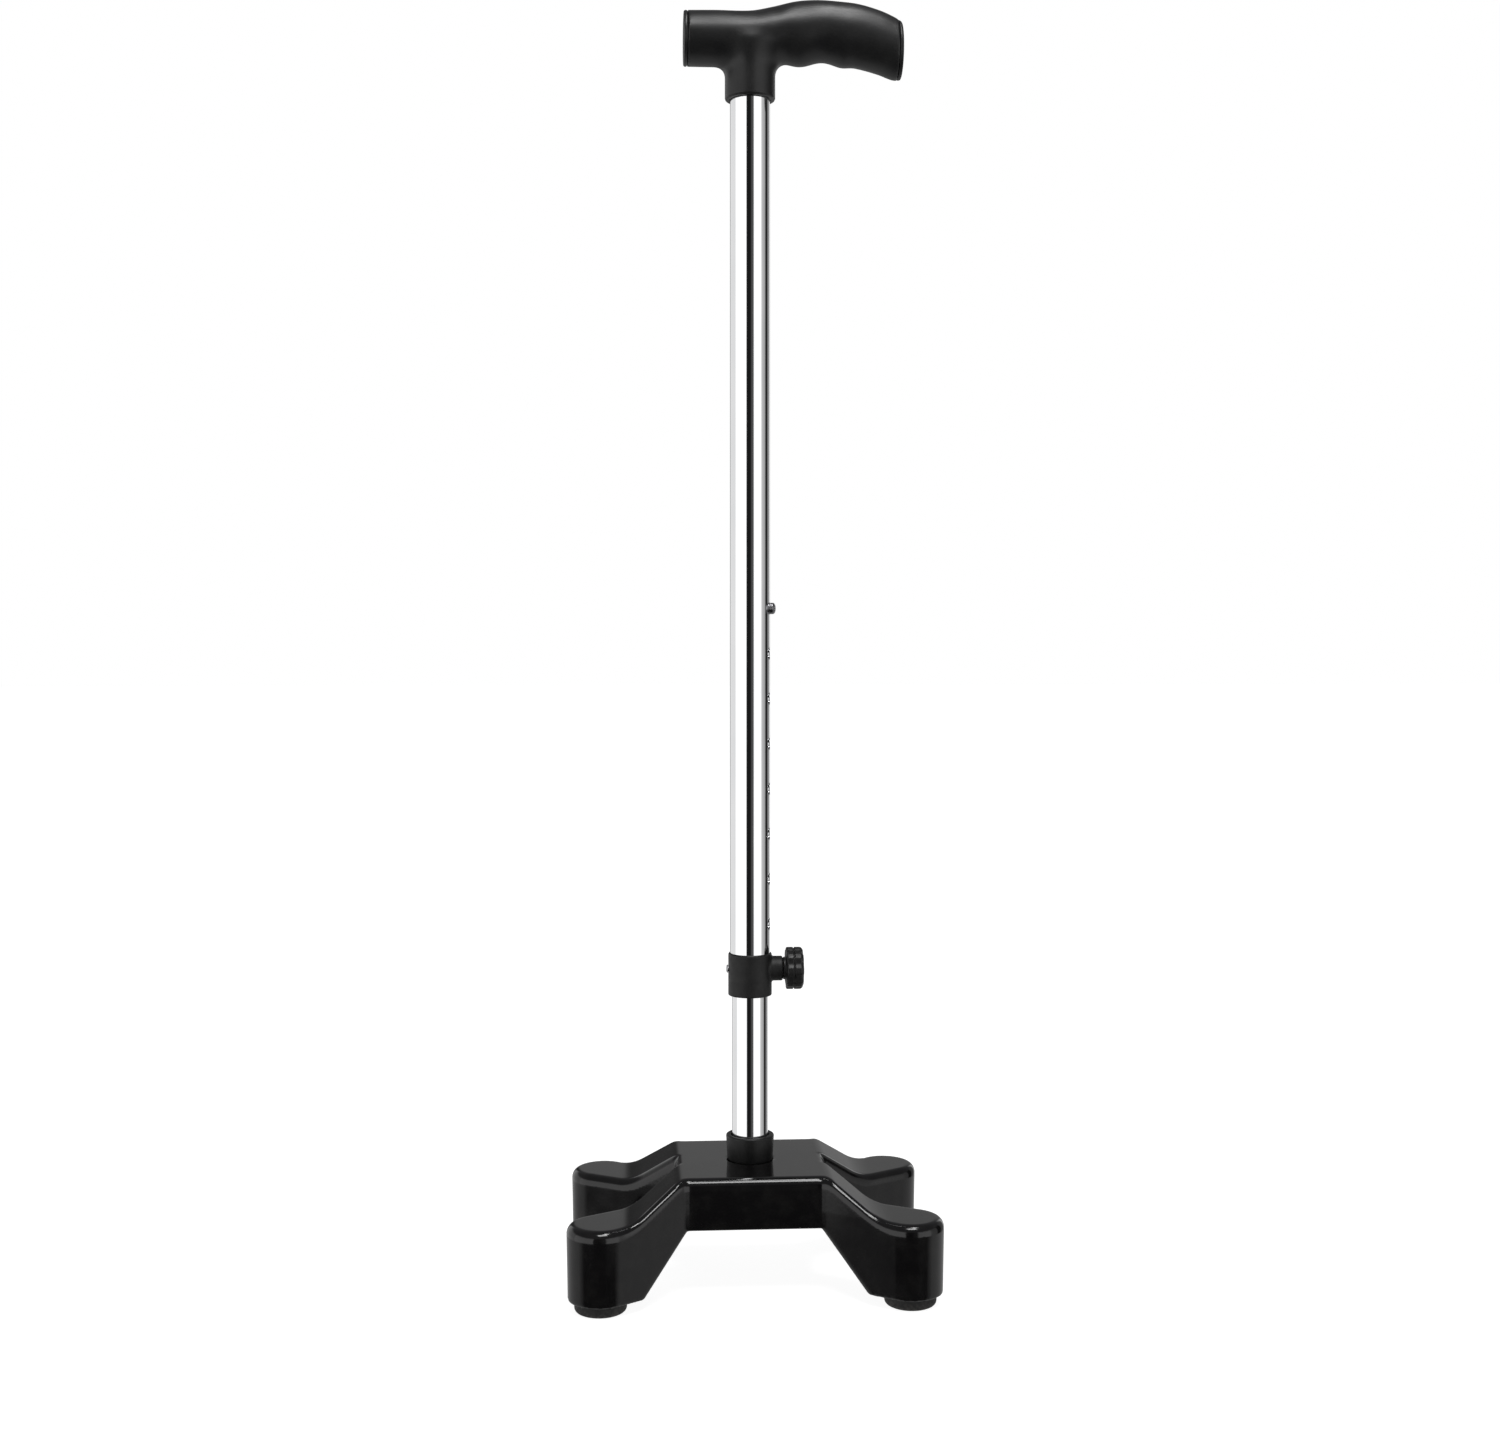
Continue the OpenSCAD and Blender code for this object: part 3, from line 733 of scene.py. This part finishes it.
def bolt_field(x, y, z):
    """A hexagon-head bolt seen from below, with a bevelled head."""
    radius = np.hypot(x, y)
    head_low = low("base_bolt")[2]
    head_high = head_low + 5.3
    flats = [np.abs(x * math.cos(turn) + y * math.sin(turn)) for turn in np.radians((30, 90, 150))]
    hexagon = np.maximum.reduce(flats) - 6.5
    bevel = 0.87 * (radius - 7.0) + 0.5 * (head_low - z)
    head = rounded_both(np.maximum(hexagon, bevel), slab(z, head_low, head_high), 0.25)
    mark = np.maximum(radius - 5.2, z - head_low - 0.25)
    shank = rounded_both(radius - 3.98, slab(z, head_high - 1, high("base_bolt")[2]), 0.5)
    return np.minimum(cut(head, mark, 0.1), shank)


# ---------------------------------------------------------------- materials

def shader(name, colour, roughness, metallic=0.0, specular=0.5):
    """A new material: its node tree, its Principled shader and its object coordinates."""
    look = bpy.data.materials.new(name)
    look.use_nodes = True
    tree = look.node_tree
    principled = tree.nodes["Principled BSDF"]
    principled.inputs["Base Color"].default_value = (*colour, 1)
    principled.inputs["Roughness"].default_value = roughness
    principled.inputs["Metallic"].default_value = metallic
    principled.inputs["Specular IOR Level"].default_value = specular
    place = tree.nodes.new("ShaderNodeTexCoord").outputs["Object"]
    return look, tree, principled, place


def feed(tree, principled, **values):
    """Links each value to the input of that name, with spaces for underscores."""
    for name, value in values.items():
        tree.links.new(value, principled.inputs[name.replace("_", " ")])


def stretched(tree, place, scale):
    """Coordinates scaled differently along each axis."""
    mapping = tree.nodes.new("ShaderNodeMapping")
    mapping.inputs["Scale"].default_value = scale
    tree.links.new(place, mapping.inputs["Vector"])
    return mapping.outputs["Vector"]


def noise(tree, place, size, detail=2.0, rough=0.5, distortion=0.0):
    """Noise whose blotches are about size millimetres wide."""
    node = tree.nodes.new("ShaderNodeTexNoise")
    node.inputs["Scale"].default_value = 1 / (size * MM)
    node.inputs["Detail"].default_value = detail
    node.inputs["Roughness"].default_value = rough
    node.inputs["Distortion"].default_value = distortion
    tree.links.new(place, node.inputs["Vector"])
    return node.outputs["Fac"]


def spread(tree, value, start, end, to_start, to_end):
    """A value stretched from one range to another, and held inside it."""
    node = tree.nodes.new("ShaderNodeMapRange")
    node.inputs["From Min"].default_value = start
    node.inputs["From Max"].default_value = end
    node.inputs["To Min"].default_value = to_start
    node.inputs["To Max"].default_value = to_end
    tree.links.new(value, node.inputs["Value"])
    return node.outputs["Result"]


def math_node(tree, operation, first, second):
    node = tree.nodes.new("ShaderNodeMath")
    node.operation = operation
    for socket, value in zip(node.inputs, (first, second)):
        if isinstance(value, (int, float)):
            socket.default_value = value
        else:
            tree.links.new(value, socket)
    return node.outputs["Value"]


def mixed(tree, factor, first, second):
    """One colour or the other by a factor, where each is a socket or four numbers."""
    node = tree.nodes.new("ShaderNodeMix")
    node.data_type = "RGBA"
    tree.links.new(factor, node.inputs["Factor"])
    for socket, value in zip((node.inputs[6], node.inputs[7]), (first, second)):
        if isinstance(value, tuple):
            socket.default_value = value
        else:
            tree.links.new(value, socket)
    return node.outputs[2]


def tint(tree, factor, dark, pale):
    """A colour between two, by a factor."""
    return mixed(tree, factor, (*dark, 1), (*pale, 1))


def bump(tree, height, depth, under=None):
    """A normal from a height of up to depth millimetres."""
    node = tree.nodes.new("ShaderNodeBump")
    node.inputs["Strength"].default_value = 1.0
    node.inputs["Distance"].default_value = depth * MM
    tree.links.new(height, node.inputs["Height"])
    if under is not None:
        tree.links.new(under, node.inputs["Normal"])
    return node.outputs["Normal"]


def scratches(tree, place, turn, size, amount):
    """Fine hairlines in one direction: 1 on a line and 0 elsewhere."""
    mapping = tree.nodes.new("ShaderNodeMapping")
    mapping.inputs["Rotation"].default_value = turn
    mapping.inputs["Scale"].default_value = (1, 0.02, 1)
    tree.links.new(place, mapping.inputs["Vector"])
    line = noise(tree, mapping.outputs["Vector"], size, 1.0)
    return spread(tree, line, 0.5 + amount, 0.5 + amount + 0.03, 0, 1)


def gloss_black():
    """Polished black moulding: faint orange peel, hairline scratches and a little dust."""
    look, tree, principled, place = shader("gloss_black_moulding", (0.0035, 0.0033, 0.0036), 0.1)
    dust = spread(tree, noise(tree, place, 9, 4, 0.6), 0.45, 0.75, 0, 1)
    colour = tint(tree, dust, (0.003, 0.0028, 0.003), (0.0065, 0.0062, 0.006))
    feed(tree, principled, Base_Color=colour)
    lines = math_node(
        tree, "MAXIMUM",
        scratches(tree, place, (0.3, 0.2, 0.7), 0.9, 0.24),
        scratches(tree, place, (-0.4, 0.5, -0.9), 1.1, 0.25),
    )
    haze = spread(tree, noise(tree, place, 24, 3), 0.35, 0.7, 0.07, 0.16)
    scuffed = math_node(tree, "ADD", haze, math_node(tree, "MULTIPLY", lines, 0.12))
    feed(tree, principled, Roughness=scuffed)
    peel = noise(tree, place, 2.4, 1.0)
    grain = noise(tree, place, 0.35, 2.0)
    feed(tree, principled, Normal=bump(tree, grain, 0.0012, bump(tree, peel, 0.01)))
    return look


def satin_black():
    """Satin moulded grip: fine spark-eroded grain, polished a little where the hand rubs."""
    look, tree, principled, place = shader("satin_black_grip", (0.005, 0.005, 0.005), 0.42, specular=0.42)
    blotch = spread(tree, noise(tree, place, 14, 3), 0.35, 0.7, 0, 1)
    feed(tree, principled, Base_Color=tint(tree, blotch, (0.004, 0.004, 0.0043), (0.007, 0.007, 0.007)))
    wear = spread(tree, noise(tree, place, 30, 2), 0.35, 0.65, 0.34, 0.42)
    speck = spread(tree, noise(tree, place, 0.8, 2), 0.4, 0.7, -0.03, 0.05)
    feed(tree, principled, Roughness=math_node(tree, "ADD", wear, speck))
    grain = noise(tree, place, 0.45, 3.0, 0.6)
    feed(tree, principled, Normal=bump(tree, grain, 0.025))
    return look


def matte_black(name, shade, roughness, grain_size, grain_depth):
    """Textured black moulding for the small fittings."""
    look, tree, principled, place = shader(name, (shade, shade, shade * 1.03), roughness, specular=0.35)
    blotch = spread(tree, noise(tree, place, 5, 3), 0.3, 0.7, 0, 1)
    dark, pale = (shade * 0.8, shade * 0.8, shade * 0.83), (shade * 1.4, shade * 1.38, shade * 1.36)
    feed(tree, principled, Base_Color=tint(tree, blotch, dark, pale))
    rough = spread(tree, noise(tree, place, 3, 2), 0.3, 0.7, roughness - 0.05, roughness + 0.07)
    feed(tree, principled, Roughness=rough)
    feed(tree, principled, Normal=bump(tree, noise(tree, place, grain_size, 3, 0.6), grain_depth))
    return look


def rubber_black():
    """Soft black rubber with a bloom, dusty towards the floor."""
    look, tree, principled, place = shader("black_rubber", (0.014, 0.014, 0.014), 0.7, specular=0.35)
    axes = tree.nodes.new("ShaderNodeSeparateXYZ")
    tree.links.new(place, axes.inputs["Vector"])
    near_floor = spread(tree, axes.outputs["Z"], 0.0, 0.006, 1, 0)
    patches = spread(tree, noise(tree, place, 1.8, 4, 0.7), 0.4, 0.65, 0, 1)
    dust = math_node(tree, "MULTIPLY", near_floor, patches)
    feed(tree, principled, Base_Color=tint(tree, dust, (0.011, 0.011, 0.011), (0.04, 0.038, 0.034)))
    feed(tree, principled, Roughness=spread(tree, noise(tree, place, 2.5, 3), 0.3, 0.7, 0.6, 0.8))
    feed(tree, principled, Normal=bump(tree, noise(tree, place, 0.5, 4, 0.65), 0.05))
    return look


def chrome():
    """Chrome plate on drawn tube: faint lines along the tube and soft handling marks."""
    look, tree, principled, place = shader("chrome_plate", (0.86, 0.865, 0.875), 0.05, metallic=1.0)
    drawn = noise(tree, stretched(tree, place, (1, 1, 0.012)), 0.35, 2.0)
    marks = spread(tree, noise(tree, place, 16, 5, 0.65), 0.5, 0.8, 0, 0.05)
    fine = spread(tree, drawn, 0.35, 0.7, 0.028, 0.055)
    feed(tree, principled, Roughness=math_node(tree, "ADD", marks, fine))
    film = spread(tree, noise(tree, place, 45, 3), 0.35, 0.7, 0, 1)
    feed(tree, principled, Base_Color=tint(tree, film, (0.84, 0.845, 0.855), (0.9, 0.9, 0.905)))
    feed(tree, principled, Normal=bump(tree, drawn, 0.0006))
    return look


def metal(name, colour, dark, roughness, direction):
    """A small metal part with fine machining lines along one direction and a mottled film."""
    look, tree, principled, place = shader(name, colour, roughness, metallic=1.0)
    film = spread(tree, noise(tree, place, 3, 4, 0.6), 0.35, 0.7, 0, 1)
    feed(tree, principled, Base_Color=tint(tree, film, dark, colour))
    lines = noise(tree, stretched(tree, place, direction), 0.25, 2.0)
    rough = spread(tree, lines, 0.3, 0.7, roughness - 0.06, roughness + 0.1)
    feed(tree, principled, Roughness=rough, Normal=bump(tree, lines, 0.004))
    return look


def natural_nylon():
    """Slightly cloudy, translucent off-white nylon."""
    look, tree, principled, place = shader("natural_nylon", (0.74, 0.71, 0.62), 0.4)
    cloud = spread(tree, noise(tree, place, 4, 3), 0.3, 0.7, 0, 1)
    feed(tree, principled, Base_Color=tint(tree, cloud, (0.68, 0.65, 0.55), (0.8, 0.77, 0.69)))
    feed(tree, principled, Roughness=spread(tree, noise(tree, place, 1.5, 2), 0.3, 0.7, 0.33, 0.5))
    feed(tree, principled, Normal=bump(tree, noise(tree, place, 0.6, 2), 0.01))
    principled.inputs["Subsurface Weight"].default_value = 0.1
    principled.inputs["Subsurface Radius"].default_value = (0.001, 0.001, 0.0008)
    return look


def make_looks():
    return {
        "base": gloss_black(),
        "grip": satin_black(),
        "collar": matte_black("textured_black_collar", 0.006, 0.5, 0.5, 0.035),
        "hub": matte_black("textured_black_hub", 0.005, 0.42, 0.4, 0.02),
        "knob": matte_black("satin_black_knob", 0.007, 0.38, 0.35, 0.018),
        "rubber": rubber_black(),
        "chrome": chrome(),
        "steel": metal("zinc_plated_steel", (0.62, 0.62, 0.63), (0.45, 0.45, 0.47), 0.3, (1, 1, 0.05)),
        "button": metal("dull_button_steel", (0.3, 0.3, 0.31), (0.2, 0.2, 0.21), 0.32, (0.1, 0.1, 1)),
        "brass": metal("turned_brass", (0.7, 0.5, 0.22), (0.55, 0.38, 0.15), 0.25, (1, 0.05, 0.05)),
        "nylon": natural_nylon(),
    }


# ---------------------------------------------------------------- studio

# Camera: distance from the tubes' axis, height, and how far it stands to the left
CAMERA_REACH, CAMERA_HEIGHT, CAMERA_TURN = 1.035, 0.355, math.radians(3.75)
# The shift puts the horizon above the middle of the picture
SENSOR_MM, LENS_MM, SHIFT_MM = 36, 44.688, 1.92
FLOOR_REACH, FLOOR_GLOW = 12.0, 0.92


def make_camera():
    data = bpy.data.cameras.new("camera")
    data.sensor_width = SENSOR_MM
    data.lens = LENS_MM
    data.shift_y = -SHIFT_MM / SENSOR_MM
    camera = bpy.data.objects.new("camera", data)
    bpy.context.scene.collection.objects.link(camera)
    camera.location = (
        -CAMERA_REACH * math.sin(CAMERA_TURN), -CAMERA_REACH * math.cos(CAMERA_TURN), CAMERA_HEIGHT
    )
    camera.rotation_euler = (math.radians(90), 0, -CAMERA_TURN)
    bpy.context.scene.camera = camera


def make_floor():
    """A pale floor that glows almost white and is left out of reflections."""
    mesh = bpy.data.meshes.new("floor")
    corners = [(x * FLOOR_REACH, y * FLOOR_REACH, 0) for x, y in ((-1, -1), (1, -1), (1, 1), (-1, 1))]
    mesh.from_pydata(corners, [], [(0, 1, 2, 3)])
    floor = bpy.data.objects.new("floor", mesh)
    bpy.context.scene.collection.objects.link(floor)
    look, _, principled, _ = shader("pale_floor", (0.4, 0.4, 0.4), 0.9, specular=0.0)
    principled.inputs["Emission Color"].default_value = (1, 1, 1, 1)
    principled.inputs["Emission Strength"].default_value = FLOOR_GLOW
    mesh.materials.append(look)
    floor.visible_glossy = False


def band(tree, value, stops):
    """A grey looked up from a value, through (position, grey) stops."""
    ramp = tree.nodes.new("ShaderNodeValToRGB")
    tree.links.new(value, ramp.inputs["Fac"])
    elements = ramp.color_ramp.elements
    elements.remove(elements[1])
    elements[0].position, elements[0].color = stops[0][0], (*[stops[0][1]] * 3, 1)
    for position, grey in stops[1:]:
        elements.new(position).color = (grey, grey, grey, 1)
    return ramp.outputs["Color"]


def at_elevation(degrees):
    """Where an elevation falls on a ramp that runs from straight down to straight up."""
    return math.sin(math.radians(degrees)) / 2 + 0.5


def make_world():
    """Light to reflect: white, grey and dark upright bands all round. The camera sees white.

    The wide dark bands are in front, at the right towards the back, and behind at the left."""
    world = bpy.data.worlds.new("studio")
    bpy.context.scene.world = world
    world.use_nodes = True
    tree = world.node_tree
    background = tree.nodes["Background"]
    axes = tree.nodes.new("ShaderNodeSeparateXYZ")
    tree.links.new(tree.nodes.new("ShaderNodeTexCoord").outputs["Generated"], axes.inputs["Vector"])
    x, y, z = (axes.outputs[axis] for axis in "XYZ")

    # Azimuth from the front, growing to the right, as a share of a full turn
    azimuth = math_node(tree, "ARCTAN2", x, math_node(tree, "MULTIPLY", y, -1.0))
    share = math_node(tree, "ADD", math_node(tree, "DIVIDE", azimuth, 2 * math.pi), 0.5)
    turn = math.degrees(CAMERA_TURN)
    edges = [
        (-180, 0.33), (-172, 0.3), (-167, 0.08), (-158, 0.08), (-154, 0.82), (-94, 0.82),
        (-90, 1.2), (-22, 1.2), (-19, 0.01), (4, 0.012), (7, 0.06), (20, 0.1),
        (24, 1.2), (66, 1.2), (72, 0.6), (98, 0.35), (101, 0.02), (119, 0.02),
        (123, 0.25), (146, 0.3), (149, 1.2), (155, 1.2), (160, 0.3), (180, 0.33),
    ]
    around = band(tree, share, [(max((angle - turn) / 360 + 0.5, 0), grey) for angle, grey in edges])

    # Below the tubes' foot, dark in front and grey all round; overhead, an even dim ceiling
    below = band(tree, share, [(0, 0.5), (0.28, 0.5), (0.34, 0.02), (0.64, 0.02), (0.7, 0.5), (1, 0.5)])
    height = math_node(tree, "ADD", math_node(tree, "MULTIPLY", z, 0.5), 0.5)
    floor_mask = band(tree, height, [(0, 0), (at_elevation(-17.0), 0), (at_elevation(-15.6), 1), (1, 1)])
    ceiling = band(tree, height, [(0, 0), (at_elevation(20), 0), (at_elevation(30), 1), (1, 1)])

    studio = mixed(tree, ceiling, around, (0.18, 0.18, 0.185, 1))
    masked = mixed(tree, floor_mask, below, studio)
    path = tree.nodes.new("ShaderNodeLightPath")
    seen = mixed(tree, path.outputs["Is Camera Ray"], masked, (1, 1, 1, 1))
    tree.links.new(seen, background.inputs["Color"])


def make_light(name, place, aim, width, height, power):
    data = bpy.data.lights.new(name, "AREA")
    data.shape = "RECTANGLE"
    data.size, data.size_y = width, height
    data.energy = power
    lamp = bpy.data.objects.new(name, data)
    bpy.context.scene.collection.objects.link(lamp)
    lamp.location = place
    lamp.rotation_euler = (Vector(aim) - Vector(place)).to_track_quat("-Z", "Y").to_euler()


def make_studio():
    make_camera()
    make_floor()
    make_world()
    make_light("key_softbox", (0.35, -0.35, 2.2), (0, 0, 0.1), 0.42, 0.42, 8)
    make_light("handle_softbox", (0.1, -1.0, 2.15), (0, 0, 0.65), 0.9, 0.6, 18)
    bpy.context.scene.view_settings.view_transform = "Standard"


# ---------------------------------------------------------------- the whole cane

def make_cane():
    looks = make_looks()
    make_base(looks["base"])
    make_hub_ring(looks["hub"])
    make_feet(looks["rubber"])
    make_tubes(looks["chrome"])
    make_button(looks["button"])
    make_clamp(looks)
    make_handle(looks["grip"], looks["steel"])
    moulded("base_bolt_hexagon", bolt_field, looks["steel"], "base_bolt", 0.34)
    for node in ("tube_plug", "bolt_washer", "lock_washer", "button_spring"):
        finish_node(node, looks["steel"])
    for node in frame["nodes"]:
        if node.startswith("disc_"):
            finish_node(node, looks["steel"])
    finish_node("guide_bush", looks["nylon"])
    finish_node("clamp_pad", looks["nylon"])
    finish_node("clamp_insert", looks["brass"])


make_studio()
make_cane()
